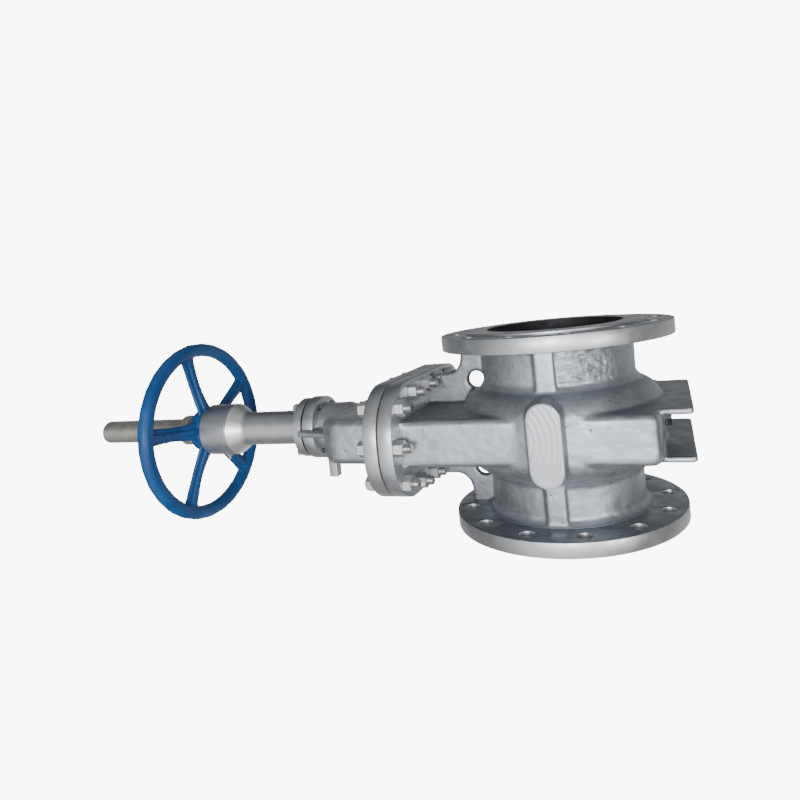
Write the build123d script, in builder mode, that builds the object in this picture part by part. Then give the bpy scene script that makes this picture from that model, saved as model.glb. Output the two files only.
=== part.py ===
"""Flanged slab gate valve with a rising stem, an enclosed column and a handwheel.

Millimetres. The flow axis is Z, and the valve stands on its lower flange: the origin is the centre of
that flange's raised face. The stem runs along X at the height of the valve's middle, and the handwheel
is on the -X side. The gate is modelled closed, and it opens by sliding towards the handwheel.
"""

import os
from math import cos, radians, sin

from build123d import *

# Pipeline flanges, nominal bore 200
BORE_R = 100.0
FACE_TO_FACE = 292.0
FLANGE_R = 170.0
FLANGE_T = 21.0
RAISED_R = 134.0
RAISED_T = 3.0
FLANGE_PCD = 295.0
FLANGE_HOLES = 12
FLANGE_HOLE_R = 11.0
NECK_R = 112.0

# Frame
MID_Z = FACE_TO_FACE / 2
STEM_AXIS = Axis((0, 0, MID_Z), (1, 0, 0))
MIDDLE = Plane.XY.offset(MID_Z)

# Gate housing: the flat box that the gate slides in
HOUSING_HALF_Y = 140.0
HOUSING_HALF_Z = 34.0
HOUSING_END_X = 142.0
CHAMBER_HALF_Y = 126.0
CHAMBER_HALF_Z = 22.0
CHAMBER_END_X = 132.0
DOME_R = 146.0
DOME_TOP = 63.0

# Riser pads, neck ribs, lifting webs and feet
PAD_W = 52.0
PAD_H = 119.0
PAD_FACE_Y = 160.0
RIB_W = 28.0
RIB_FACE_Y = 118.5
WEB_T = 14.0
WEB_TOP = 80.0
WEB_OUTER_X = -151.0
LIFTING_HOLE_R = 13.0
LIFTING_HOLE_X = -127.0
LIFTING_HOLE_DZ = 69.0
PIN_ROOM_R = 13.5
PIN_ROOM_Y = 60.0
FOOT_END_X = 183.0
FOOT_HALF_Y = 115.0
FOOT_IN = 27.0
FOOT_OUT = 35.0

# Joint between body and bonnet
JOINT_X = -228.0
GASKET_T = 2.0
JOINT_FLANGE_T = 21.0
JOINT_HALF_Y = 174.0
JOINT_HALF_Z = 84.0
JOINT_CORNER_R = 75.0
STUD_R = 7.0
STUD_HOLE_R = 8.0
NUT_AF = 21.0
NUT_T = 13.0
STUD_END_BODY = 10.0
STUD_END_BONNET = 3.0
STUD_QUARTER = [(27.0, 70.0), (84.0, 67.0), (142.0, 54.0)]
STUD_SPOTS = [(side * 158.0, 0.0) for side in (-1, 1)] + [
    (side * y, up * z) for y, z in STUD_QUARTER for side in (-1, 1) for up in (-1, 1)
]

# Bonnet
BONNET_HALF_Y = 122.0
BONNET_CAVITY_HALF_Y = 112.0
BONNET_HALF_Z = 35.0
BONNET_END_X = -355.5
BONNET_CORNER_R = 38.0
BONNET_WALL = 10.0
BONNET_NECK_R = 41.0
STUFFING_END_X = -341.0
STUFFING_BOSS_R = 36.0
STUFFING_R = 23.0
PACKING_X = -349.0
PACKING_T = 6.0
PACKING_RINGS = 4
COLUMN_JOINT_X = -420.0
BONNET_TOP_R = 52.5
BONNET_TOP_T = 20.0
GUSSET_T = 10.0
VENT_X = -394.0
VENT_R = 6.0
VENT_BOSS_DZ = -53.0

# Column and bearing housing
COLUMN_GAP = 3.5
GLAND_FLANGE_R = 34.0
COLUMN_FLANGE_R = 50.0
COLUMN_FLANGE_T = 16.0
COLUMN_R = 29.0
COLUMN_BORE_R = 21.0
CONE_X = -557.0
SEAM_X = -579.0
HOUSING_R = 45.0
HOUSING_LEFT_X = -633.0
NIPPLE_X = -607.0
NIPPLE_R = 4.0
COLUMN_BOLT_R = 5.0
COLUMN_BOLT_AF = 16.0
COLUMN_BOLT_HEAD = 8.0
COLUMN_BOLT_SPOTS = [(side * 20.5, up * 35.5) for side in (-1, 1) for up in (-1, 1)]

# Thrust bearings, right to left along the stem
BEARING_X = -585.0
RACE_T = 3.0
BALL_R = 2.95
BALL_ROOM = 6.0
BALLS = 16
BALL_PCD = 57.0
COLLAR_T = 12.0
BEARING_T = 2 * RACE_T + BALL_ROOM
RETAINER_X = BEARING_X - 2 * BEARING_T - COLLAR_T
RETAINER_T = 10.0

# Stem, stem nut and gate
STEM_R = 15.0
STEM_FIT = 0.05
NUT_R = 22.0
NUT_END_X = -690.0
TRAVEL = 212.0
STEM_TOP_X = -656.0
GATE_R = 109.0
GATE_HALF_T = 18.0
GATE_LUG_X = -125.0
GATE_LUG_HALF_Y = 30.0
STEM_SEAT_X = -88.0
GATE_PIN_R = 6.0
GATE_PIN_X = -107.0

# Seats
SEAT_R = 110.5
SEAT_FACE = 18.2
SEAT_BACK = 46.0
SEAT_POCKET = 50.0
INSERT_IN_R = 103.0
INSERT_OUT_R = 107.0
INSERT_DEPTH = 5.0

# Handwheel and stem cover
WHEEL_X = -656.0
RIM_R = 147.5
RIM_SECTION_R = 12.5
SPOKES = 5
SPOKE_ANGLE = 28.7
HUB_R = 34.0
HUB_RIGHT_X = -636.0
HUB_LEFT_X = -663.0
LOCK_NUT_AF = 52.0
LOCK_NUT_T = 11.0
COVER_R = 21.0
COVER_IN_R = 17.5
COVER_COLLAR_R = 27.0
COVER_COLLAR_X = -693.5
COVER_END_X = -877.0
FIT = 0.05


def across(x):
    """The plane square to the stem at x, with Y to its right and Z up, centred on the stem."""
    return Plane(origin=(x, 0, MID_Z), x_dir=(0, 1, 0), z_dir=(1, 0, 0))


def along_stem():
    """The vertical plane through the stem: local x is X, local y is the height over the stem."""
    return Plane(origin=(0, 0, MID_Z), x_dir=(1, 0, 0), z_dir=(0, -1, 0))


def sleeve(x_right, x_left, outer_r, inner_r):
    """A plain ring around the stem between two stations."""
    with BuildPart() as ring:
        with BuildSketch(across(x_left)):
            Circle(outer_r)
            Circle(inner_r, mode=Mode.SUBTRACT)
        extrude(amount=x_right - x_left)
    return ring.part


def turned(*outline):
    """A part turned about the stem from (x, radius) corners."""
    with BuildPart() as piece:
        with BuildSketch(along_stem()):
            with BuildLine():
                Polyline(*outline, close=True)
            make_face()
        revolve(axis=STEM_AXIS)
    return piece.part


def joint_plate(x_right, x_left, inset=0.0):
    """The round-ended plate outline of the body-to-bonnet joint, without its opening."""
    with BuildPart() as plate:
        with BuildSketch(across(x_left)):
            RectangleRounded(
                2 * (JOINT_HALF_Y - inset), 2 * (JOINT_HALF_Z - inset), JOINT_CORNER_R - inset
            )
        extrude(amount=x_right - x_left)
    return plate.part


def hexagons(x_right, x_left, across_flats, bore_r, spots):
    """A group of plain hexagon nuts, one at each (y, height over the stem)."""
    with BuildPart() as nuts:
        with BuildSketch(across(x_left)):
            with Locations(*spots):
                RegularPolygon(across_flats / 2, 6, major_radius=False)
            with Locations(*spots):
                Circle(bore_r, mode=Mode.SUBTRACT)
        extrude(amount=x_right - x_left)
    return nuts.part


def save(part, name):
    part.label = name
    export_step(part, f"parts/{name}.step")


os.makedirs("parts", exist_ok=True)

# ---------------------------------------------------------------- body casting
with BuildPart() as body:
    # Flat housing box
    with BuildSketch(MIDDLE.offset(-HOUSING_HALF_Z)):
        with Locations(((JOINT_X + 4 + HOUSING_END_X) / 2, 0)):
            Rectangle(HOUSING_END_X - JOINT_X - 4, 2 * HOUSING_HALF_Y)
    extrude(amount=2 * HOUSING_HALF_Z)
    fillet(body.edges().filter_by(Axis.Z).group_by(Axis.X)[-1], radius=14)
    fillet(body.faces().sort_by(Axis.Z)[0].edges().filter_by(Axis.X), radius=10)
    fillet(body.faces().sort_by(Axis.Z)[-1].edges().filter_by(Axis.X), radius=10)

    # Flanges, necks and the dome over each seat, turned about the flow axis
    for up in (1, -1):
        with BuildSketch(Plane(origin=(0, 0, MID_Z), x_dir=(1, 0, 0), z_dir=(0, -up, 0))):
            rim = MID_Z - RAISED_T
            with BuildLine():
                Line((0, 0), (DOME_R, 0))
                Line((DOME_R, 0), (DOME_R, HOUSING_HALF_Z - 4))
                ThreePointArc(
                    (DOME_R, HOUSING_HALF_Z - 4),
                    (DOME_R - 9, DOME_TOP - 14),
                    (NECK_R + 7, DOME_TOP - 2),
                )
                Line((NECK_R + 7, DOME_TOP - 2), (NECK_R, DOME_TOP + 7))
                Line((NECK_R, DOME_TOP + 7), (NECK_R, rim - FLANGE_T - 14))
                ThreePointArc(
                    (NECK_R, rim - FLANGE_T - 14),
                    (NECK_R + 3, rim - FLANGE_T - 4),
                    (NECK_R + 11, rim - FLANGE_T),
                )
                Line((NECK_R + 11, rim - FLANGE_T), (FLANGE_R, rim - FLANGE_T))
                Line((FLANGE_R, rim - FLANGE_T), (FLANGE_R, rim))
                Line((FLANGE_R, rim), (RAISED_R, rim))
                Line((RAISED_R, rim), (RAISED_R, MID_Z))
                Line((RAISED_R, MID_Z), (0, MID_Z))
                Line((0, MID_Z), (0, 0))
            make_face()
        revolve(axis=Axis.Z)

    # Riser pads and the flat ribs over the necks, front and back
    for side in (1, -1):
        with BuildSketch(Plane.XZ.offset(side * (HOUSING_HALF_Y - 20))):
            with Locations((0, MID_Z)):
                SlotOverall(PAD_H, PAD_W, rotation=90)
        extrude(amount=side * (PAD_FACE_Y - HOUSING_HALF_Y + 20), taper=4)
        with BuildSketch(Plane.XZ.offset(side * (NECK_R - 22))):
            with Locations((0, MID_Z)):
                Rectangle(RIB_W, FACE_TO_FACE - 2 * (FLANGE_T + RAISED_T))
        extrude(amount=side * (RIB_FACE_Y - NECK_R + 22))

    # Lifting web over and under the housing, with its eye
    for up in (1, -1):
        with BuildSketch(Plane(origin=(0, 0, MID_Z), x_dir=(1, 0, 0), z_dir=(0, -up, 0))):
            with BuildLine():
                Polyline(
                    (JOINT_X + JOINT_FLANGE_T - 2, HOUSING_HALF_Z - 6),
                    (JOINT_X + JOINT_FLANGE_T - 2, WEB_TOP - 4),
                    (-196, WEB_TOP),
                    (-174, WEB_TOP),
                )
                ThreePointArc((-174, WEB_TOP), (-159, WEB_TOP + 6), (WEB_OUTER_X, WEB_TOP + 20))
                Polyline(
                    (WEB_OUTER_X, WEB_TOP + 20),
                    (WEB_OUTER_X + 3, MID_Z - RAISED_T - FLANGE_T + 2),
                    (-104, MID_Z - RAISED_T - FLANGE_T + 2),
                    (-104, HOUSING_HALF_Z - 6),
                    (JOINT_X + JOINT_FLANGE_T - 2, HOUSING_HALF_Z - 6),
                )
            make_face()
        extrude(amount=WEB_T / 2, both=True)
        eye = (LIFTING_HOLE_X, MID_Z + up * LIFTING_HOLE_DZ)
        with BuildSketch(Plane.XZ):
            with Locations(eye):
                Circle(LIFTING_HOLE_R)
        extrude(amount=WEB_T / 2, both=True, mode=Mode.SUBTRACT)
        # Room beside each eye for the ends of a shackle pin
        for side in (1, -1):
            with BuildSketch(Plane.XZ.offset(side * WEB_T / 2)):
                with Locations(eye):
                    Circle(PIN_ROOM_R)
            extrude(amount=side * (PIN_ROOM_Y - WEB_T / 2), mode=Mode.SUBTRACT)

    # Feet: the housing's top and bottom walls carried on past its blind end
    for up in (1, -1):
        with BuildSketch(MIDDLE.offset(up * FOOT_IN)):
            with Locations(((FOOT_END_X + 110) / 2, 0)):
                RectangleRounded(FOOT_END_X - 110, 2 * FOOT_HALF_Y, 8)
        extrude(amount=up * (FOOT_OUT - FOOT_IN))

    # Joint flange
    add(joint_plate(JOINT_X + JOINT_FLANGE_T, JOINT_X))

    # Drain boss on the blind end
    with BuildSketch(across(CHAMBER_END_X + 2)):
        Circle(14)
    extrude(amount=HOUSING_END_X + 4 - CHAMBER_END_X - 2)

    # Gate chamber, open through the joint flange
    with BuildSketch(MIDDLE.offset(-CHAMBER_HALF_Z)):
        with Locations(((JOINT_X - 1 + CHAMBER_END_X) / 2, 0)):
            Rectangle(CHAMBER_END_X - JOINT_X + 1, 2 * CHAMBER_HALF_Y)
    extrude(amount=2 * CHAMBER_HALF_Z, mode=Mode.SUBTRACT)

    # Flow bore and the two seat pockets
    with BuildSketch(Plane.XY.offset(-1)):
        Circle(BORE_R)
    extrude(amount=FACE_TO_FACE + 2, mode=Mode.SUBTRACT)
    with BuildSketch(MIDDLE.offset(-SEAT_POCKET)):
        Circle(SEAT_R + FIT)
    extrude(amount=2 * SEAT_POCKET, mode=Mode.SUBTRACT)

    # Pipeline bolt holes, straddling the stem's plane
    for z_low in (0, FACE_TO_FACE - FLANGE_T - RAISED_T - 1):
        with BuildSketch(Plane.XY.offset(z_low - 1)):
            with PolarLocations(FLANGE_PCD / 2, FLANGE_HOLES, start_angle=180 / FLANGE_HOLES):
                Circle(FLANGE_HOLE_R)
        extrude(amount=FLANGE_T + RAISED_T + 3, mode=Mode.SUBTRACT)

    # Stud holes and the drain hole
    with BuildSketch(across(JOINT_X - 1)):
        with Locations(*STUD_SPOTS):
            Circle(STUD_HOLE_R)
    extrude(amount=JOINT_FLANGE_T + 2, mode=Mode.SUBTRACT)
    with BuildSketch(across(CHAMBER_END_X - 1)):
        Circle(7 + FIT)
    extrude(amount=20, mode=Mode.SUBTRACT)
save(body.part, "body")

# ---------------------------------------------------------------- seats
for name, up in (("upper", 1), ("lower", -1)):
    with BuildPart() as seat_ring:
        with BuildSketch(MIDDLE.offset(up * SEAT_FACE)):
            Circle(SEAT_R)
            Circle(BORE_R, mode=Mode.SUBTRACT)
        extrude(amount=up * (SEAT_BACK - SEAT_FACE))
        with BuildSketch(MIDDLE.offset(up * SEAT_FACE)):
            Circle(INSERT_OUT_R + FIT)
            Circle(INSERT_IN_R - FIT, mode=Mode.SUBTRACT)
        extrude(amount=up * INSERT_DEPTH, mode=Mode.SUBTRACT)
        with BuildSketch(MIDDLE.offset(up * (SEAT_BACK - 12))):
            Circle(SEAT_R + 1)
            Circle(SEAT_R - 4, mode=Mode.SUBTRACT)
        extrude(amount=up * 5, mode=Mode.SUBTRACT)
    save(seat_ring.part, f"seat_ring_{name}")

    with BuildPart() as seat_insert:
        with BuildSketch(MIDDLE.offset(up * SEAT_FACE)):
            Circle(INSERT_OUT_R)
            Circle(INSERT_IN_R, mode=Mode.SUBTRACT)
        extrude(amount=up * (INSERT_DEPTH - FIT))
    save(seat_insert.part, f"seat_insert_{name}")

with BuildPart() as seat_seals:
    for up in (1, -1):
        with BuildSketch(MIDDLE.offset(up * (SEAT_BACK - 12 + FIT))):
            Circle(SEAT_R)
            Circle(SEAT_R - 4 + FIT, mode=Mode.SUBTRACT)
        extrude(amount=up * (5 - 2 * FIT))
save(seat_seals.part, "seat_seals")

with BuildPart() as seat_springs:
    for up in (1, -1):
        with BuildSketch(MIDDLE.offset(up * (SEAT_BACK + FIT))):
            Circle(SEAT_R - 1)
            Circle(BORE_R + 2, mode=Mode.SUBTRACT)
        extrude(amount=up * (SEAT_POCKET - SEAT_BACK - 2 * FIT))
save(seat_springs.part, "seat_springs")

# ---------------------------------------------------------------- bonnet
BONNET_X = JOINT_X - GASKET_T
with BuildPart() as bonnet:
    # Flat box with rounded shoulders
    with BuildSketch(MIDDLE.offset(-BONNET_HALF_Z)):
        with BuildLine():
            straight_x = BONNET_END_X + BONNET_CORNER_R
            straight_y = BONNET_HALF_Y - BONNET_CORNER_R
            Line((BONNET_X - 4, -BONNET_HALF_Y), (straight_x, -BONNET_HALF_Y))
            RadiusArc((straight_x, -BONNET_HALF_Y), (BONNET_END_X, -straight_y), BONNET_CORNER_R)
            Line((BONNET_END_X, -straight_y), (BONNET_END_X, straight_y))
            RadiusArc((BONNET_END_X, straight_y), (straight_x, BONNET_HALF_Y), BONNET_CORNER_R)
            Line((straight_x, BONNET_HALF_Y), (BONNET_X - 4, BONNET_HALF_Y))
            Line((BONNET_X - 4, BONNET_HALF_Y), (BONNET_X - 4, -BONNET_HALF_Y))
        make_face()
    extrude(amount=2 * BONNET_HALF_Z)
    fillet(bonnet.faces().filter_by(Axis.Z).edges().filter_by_position(Axis.X, -400, -260), radius=14)

    add(joint_plate(BONNET_X, BONNET_X - JOINT_FLANGE_T))
    # Neck and the round flange that carries the column
    add(sleeve(BONNET_END_X + 6, COLUMN_JOINT_X + 5, BONNET_NECK_R, 5))
    add(sleeve(COLUMN_JOINT_X + BONNET_TOP_T, COLUMN_JOINT_X, BONNET_TOP_R, 5))
    # Gusset on each side, its tip lapping over the column's flange
    for side in (1, -1):
        with BuildSketch(MIDDLE.offset(-GUSSET_T / 2)):
            with BuildLine():
                Polyline(
                    (BONNET_END_X + 4, side * 36),
                    (BONNET_END_X + 4, side * 76),
                    (COLUMN_JOINT_X + 6, side * 62),
                    (COLUMN_JOINT_X - 5, side * 59.5),
                    (COLUMN_JOINT_X - 5, side * 50.6),
                    (COLUMN_JOINT_X + 2, side * 50.6),
                    (COLUMN_JOINT_X + 2, side * 36),
                    close=True,
                )
            make_face()
        extrude(amount=GUSSET_T)
    # Boss for the vent plug
    with BuildSketch(MIDDLE.offset(VENT_BOSS_DZ)):
        with Locations((VENT_X, 0)):
            Circle(11)
    extrude(amount=26)

    # Cavity, then the stuffing box boss that stands in it
    with BuildSketch(MIDDLE.offset(-CHAMBER_HALF_Z)):
        with Locations(((BONNET_X + 1 + BONNET_END_X + BONNET_WALL) / 2, 0)):
            RectangleRounded(BONNET_X + 1 - BONNET_END_X - BONNET_WALL, 2 * BONNET_CAVITY_HALF_Y, 25)
        with Locations((BONNET_X - 30, 0)):
            Rectangle(62, 2 * BONNET_CAVITY_HALF_Y)
    extrude(amount=2 * CHAMBER_HALF_Z, mode=Mode.SUBTRACT)
    add(sleeve(STUFFING_END_X, BONNET_END_X + 2, STUFFING_BOSS_R, 5))
    with BuildSketch(across(COLUMN_JOINT_X - 1)):
        Circle(STUFFING_R)
    extrude(amount=PACKING_X - COLUMN_JOINT_X + 1, mode=Mode.SUBTRACT)
    with BuildSketch(across(PACKING_X - 1)):
        Circle(STEM_R + 3)
    extrude(amount=STUFFING_END_X - PACKING_X + 2, mode=Mode.SUBTRACT)

    with BuildSketch(across(BONNET_X - JOINT_FLANGE_T - 1)):
        with Locations(*STUD_SPOTS):
            Circle(STUD_HOLE_R)
    extrude(amount=JOINT_FLANGE_T + 2, mode=Mode.SUBTRACT)
    with BuildSketch(across(COLUMN_JOINT_X - 1)):
        with Locations(*COLUMN_BOLT_SPOTS):
            Circle(COLUMN_BOLT_R + FIT)
    extrude(amount=BONNET_TOP_T + 2, mode=Mode.SUBTRACT)
    with BuildSketch(MIDDLE.offset(VENT_BOSS_DZ - 1)):
        with Locations((VENT_X, 0)):
            Circle(VENT_R + FIT)
    extrude(amount=-VENT_BOSS_DZ - STUFFING_R, mode=Mode.SUBTRACT)
save(bonnet.part, "bonnet")

with BuildPart() as bonnet_gasket:
    add(joint_plate(JOINT_X, BONNET_X, inset=3))
    with BuildSketch(across(BONNET_X - 1)):
        Rectangle(2 * CHAMBER_HALF_Y, 2 * CHAMBER_HALF_Z)
        with Locations(*STUD_SPOTS):
            Circle(STUD_HOLE_R)
    extrude(amount=GASKET_T + 2, mode=Mode.SUBTRACT)
save(bonnet_gasket.part, "bonnet_gasket")

NUT_RIGHT_X = JOINT_X + JOINT_FLANGE_T
NUT_LEFT_X = BONNET_X - JOINT_FLANGE_T
with BuildPart() as bonnet_studs:
    with BuildSketch(across(NUT_LEFT_X - NUT_T - STUD_END_BONNET)):
        with Locations(*STUD_SPOTS):
            Circle(STUD_R)
    extrude(amount=NUT_RIGHT_X - NUT_LEFT_X + 2 * NUT_T + STUD_END_BODY + STUD_END_BONNET)
save(bonnet_studs.part, "bonnet_studs")
save(
    hexagons(NUT_RIGHT_X + NUT_T, NUT_RIGHT_X, NUT_AF, STUD_R + FIT, STUD_SPOTS),
    "bonnet_nuts_body_side",
)
save(
    hexagons(NUT_LEFT_X, NUT_LEFT_X - NUT_T, NUT_AF, STUD_R + FIT, STUD_SPOTS),
    "bonnet_nuts_bonnet_side",
)

# ---------------------------------------------------------------- stem sealing
save(
    sleeve(STUFFING_END_X - FIT, PACKING_X, STEM_R + 3 - FIT, STEM_R + STEM_FIT),
    "backseat_bush",
)
with BuildPart() as packing_rings:
    for ring in range(PACKING_RINGS):
        add(
            sleeve(
                PACKING_X - ring * PACKING_T,
                PACKING_X - ring * PACKING_T - PACKING_T + FIT,
                STUFFING_R - FIT,
                STEM_R + STEM_FIT,
            )
        )
save(packing_rings.part, "packing_rings")
GLAND_X = PACKING_X - PACKING_RINGS * PACKING_T
# The gland's flange shows in the gap that the column's flange pushes it across
with BuildPart() as packing_gland:
    add(sleeve(GLAND_X, COLUMN_JOINT_X - COLUMN_GAP, STUFFING_R - FIT, STEM_R + 0.1))
    add(sleeve(COLUMN_JOINT_X, COLUMN_JOINT_X - COLUMN_GAP, GLAND_FLANGE_R, STEM_R + 0.1))
save(packing_gland.part, "packing_gland")

# ---------------------------------------------------------------- column and bearing housing
FLANGE_RIGHT_X = COLUMN_JOINT_X - COLUMN_GAP
FLANGE_LEFT_X = FLANGE_RIGHT_X - COLUMN_FLANGE_T
SPIGOT_R = 40.0
with BuildPart() as column:
    add(
        turned(
            (FLANGE_RIGHT_X, STEM_R + 1),
            (FLANGE_RIGHT_X, COLUMN_FLANGE_R),
            (FLANGE_LEFT_X, COLUMN_FLANGE_R),
            (FLANGE_LEFT_X, COLUMN_R + 3),
            (FLANGE_LEFT_X - 3, COLUMN_R),
            (CONE_X, COLUMN_R),
            (SEAM_X, HOUSING_R),
            (SEAM_X, SPIGOT_R),
            (BEARING_X, SPIGOT_R),
            (BEARING_X, COLUMN_BORE_R + 3),
            (BEARING_X + 6, COLUMN_BORE_R + 3),
            (BEARING_X + 6, COLUMN_BORE_R),
            (FLANGE_LEFT_X, COLUMN_BORE_R),
            (FLANGE_LEFT_X, STEM_R + 1),
        )
    )
    with BuildSketch(across(FLANGE_LEFT_X - 1)):
        with Locations(*COLUMN_BOLT_SPOTS):
            Circle(COLUMN_BOLT_R + 0.5)
    extrude(amount=COLUMN_FLANGE_T + 2, mode=Mode.SUBTRACT)
save(column.part, "column")

with BuildPart() as column_bolts:
    add(
        hexagons(
            FLANGE_LEFT_X,
            FLANGE_LEFT_X - COLUMN_BOLT_HEAD,
            COLUMN_BOLT_AF,
            1,
            COLUMN_BOLT_SPOTS,
        )
    )
    with BuildSketch(across(FLANGE_LEFT_X - 6)):
        with Locations(*COLUMN_BOLT_SPOTS):
            Circle(COLUMN_BOLT_R)
    extrude(amount=COLUMN_JOINT_X + BONNET_TOP_T - FLANGE_LEFT_X + 4)
save(column_bolts.part, "column_bolts")

with BuildPart() as bearing_housing:
    add(
        turned(
            (SEAM_X, SPIGOT_R + FIT),
            (SEAM_X, HOUSING_R),
            (HOUSING_LEFT_X + 3, HOUSING_R),
            (HOUSING_LEFT_X, HOUSING_R - 3),
            (HOUSING_LEFT_X, SPIGOT_R + FIT),
            (RETAINER_X, SPIGOT_R + FIT),
            (RETAINER_X, 37),
            (BEARING_X, 37),
            (BEARING_X, SPIGOT_R + FIT),
        )
    )
    with BuildSketch(MIDDLE.offset(-HOUSING_R - 1)):
        with Locations((NIPPLE_X, 0)):
            Circle(NIPPLE_R + FIT)
    extrude(amount=10, mode=Mode.SUBTRACT)
save(bearing_housing.part, "bearing_housing")

with BuildPart() as grease_nipple:
    with BuildSketch(MIDDLE.offset(-HOUSING_R + 7)):
        with Locations((NIPPLE_X, 0)):
            Circle(NIPPLE_R)
    extrude(amount=-8)
    with BuildSketch(MIDDLE.offset(-HOUSING_R - 0.2)):
        with Locations((NIPPLE_X, 0)):
            RegularPolygon(5, 6, major_radius=False)
    extrude(amount=-4)
    with BuildSketch(MIDDLE.offset(-HOUSING_R - 4)):
        with Locations((NIPPLE_X, 0)):
            Circle(3)
    extrude(amount=-6, taper=6)
save(grease_nipple.part, "grease_nipple")

save(
    sleeve(RETAINER_X, RETAINER_X - RETAINER_T, SPIGOT_R, NUT_R + 2 + FIT),
    "housing_retainer",
)
save(
    sleeve(RETAINER_X - 2, RETAINER_X - RETAINER_T + 1, NUT_R + 2, NUT_R + 0.1),
    "retainer_seal",
)

# ---------------------------------------------------------------- thrust bearings
FAR_BEARING_X = BEARING_X - BEARING_T - COLLAR_T
with BuildPart() as fixed_races:
    add(sleeve(BEARING_X, BEARING_X - RACE_T, 36, NUT_R + 1))
    add(sleeve(RETAINER_X + RACE_T, RETAINER_X, 36, NUT_R + 1))
save(fixed_races.part, "fixed_races")
with BuildPart() as turning_races:
    add(sleeve(BEARING_X - RACE_T - BALL_ROOM, BEARING_X - BEARING_T, 34, NUT_R + FIT))
    add(sleeve(FAR_BEARING_X, FAR_BEARING_X - RACE_T, 34, NUT_R + FIT))
save(turning_races.part, "turning_races")
BALL_STATIONS = (
    BEARING_X - RACE_T - BALL_ROOM / 2,
    FAR_BEARING_X - RACE_T - BALL_ROOM / 2,
)
with BuildPart() as bearing_balls:
    for x in BALL_STATIONS:
        with Locations(across(x)):
            with PolarLocations(BALL_PCD / 2, BALLS):
                Sphere(BALL_R)
save(bearing_balls.part, "bearing_balls")
with BuildPart() as bearing_cages:
    for x in BALL_STATIONS:
        with BuildSketch(across(x - 1)):
            Circle(BALL_PCD / 2 + 4.5)
            Circle(BALL_PCD / 2 - 4.5, mode=Mode.SUBTRACT)
            with PolarLocations(BALL_PCD / 2, BALLS):
                Circle(BALL_R + 0.1, mode=Mode.SUBTRACT)
        extrude(amount=2)
save(bearing_cages.part, "bearing_cages")

# ---------------------------------------------------------------- stem nut and key
KEY_W = 8.0
KEY_BOTTOM = 18.5
KEY_TOP = 25.5
KEY_RIGHT_X = HUB_RIGHT_X - 2
with BuildPart() as stem_nut:
    add(
        turned(
            (BEARING_X + 4, STEM_R + STEM_FIT),
            (BEARING_X + 4, NUT_R),
            (BEARING_X - BEARING_T, NUT_R),
            (BEARING_X - BEARING_T, 31),
            (FAR_BEARING_X, 31),
            (FAR_BEARING_X, NUT_R),
            (NUT_END_X, NUT_R),
            (NUT_END_X, STEM_R + STEM_FIT),
        )
    )
    with BuildSketch(across(HUB_LEFT_X - 20)):
        with Locations((0, (KEY_BOTTOM + KEY_TOP) / 2)):
            Rectangle(KEY_W + 2 * FIT, KEY_TOP - KEY_BOTTOM + 2 * FIT)
    extrude(amount=KEY_RIGHT_X - HUB_LEFT_X + 20, mode=Mode.SUBTRACT)
save(stem_nut.part, "stem_nut")

with BuildPart() as hub_key:
    with BuildSketch(across(HUB_LEFT_X + FIT)):
        with Locations((0, (KEY_BOTTOM + KEY_TOP) / 2)):
            Rectangle(KEY_W, KEY_TOP - KEY_BOTTOM)
    extrude(amount=KEY_RIGHT_X - HUB_LEFT_X - 2 * FIT)
save(hub_key.part, "hub_key")

# ---------------------------------------------------------------- handwheel
with BuildPart() as handwheel:
    with BuildSketch(along_stem()):
        with Locations((WHEEL_X, RIM_R)):
            Circle(RIM_SECTION_R)
    revolve(axis=STEM_AXIS)
    add(sleeve(HUB_RIGHT_X, HUB_LEFT_X, HUB_R, NUT_R + FIT))
    for k in range(SPOKES):
        angle = SPOKE_ANGLE + 360 / SPOKES * k
        outward = Vector(0, cos(radians(angle)), sin(radians(angle)))
        root = Vector(HUB_RIGHT_X - 11, 0, MID_Z) + outward * (HUB_R - 5)
        tip = Vector(WHEEL_X, 0, MID_Z) + outward * RIM_R
        tangent = Vector(0, -sin(radians(angle)), cos(radians(angle)))
        with BuildSketch(Plane(origin=root, x_dir=tangent, z_dir=tip - root)):
            Ellipse(12.5, 7)
        extrude(amount=(tip - root).length)
    with BuildSketch(across(HUB_LEFT_X - 1)):
        with Locations((0, (KEY_BOTTOM + KEY_TOP) / 2)):
            Rectangle(KEY_W + 2 * FIT, KEY_TOP - KEY_BOTTOM + 2 * FIT)
    extrude(amount=HUB_RIGHT_X - HUB_LEFT_X + 2, mode=Mode.SUBTRACT)
save(handwheel.part, "handwheel")

save(
    hexagons(HUB_LEFT_X - FIT, HUB_LEFT_X - LOCK_NUT_T, LOCK_NUT_AF, NUT_R + FIT, [(0, 0)]),
    "lock_nut",
)

# ---------------------------------------------------------------- stem cover
COVER_RIGHT_X = HUB_LEFT_X - LOCK_NUT_T - 1
save(
    turned(
        (COVER_RIGHT_X, NUT_R + FIT),
        (COVER_RIGHT_X, COVER_COLLAR_R),
        (COVER_COLLAR_X + 3, COVER_COLLAR_R),
        (COVER_COLLAR_X, COVER_COLLAR_R - 3),
        (COVER_COLLAR_X, COVER_R),
        (COVER_END_X, COVER_R),
        (COVER_END_X, COVER_IN_R),
        (NUT_END_X - FIT, COVER_IN_R),
        (NUT_END_X - FIT, NUT_R + FIT),
    ),
    "stem_cover",
)
save(
    turned(
        (COVER_END_X + 7, 0),
        (COVER_END_X + 7, COVER_IN_R - FIT),
        (COVER_END_X - FIT, COVER_IN_R - FIT),
        (COVER_END_X - FIT, COVER_R),
        (COVER_END_X - 2, COVER_R),
        (COVER_END_X - 4, COVER_R - 2),
        (COVER_END_X - 4, 0),
    ),
    "stem_cover_cap",
)

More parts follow.
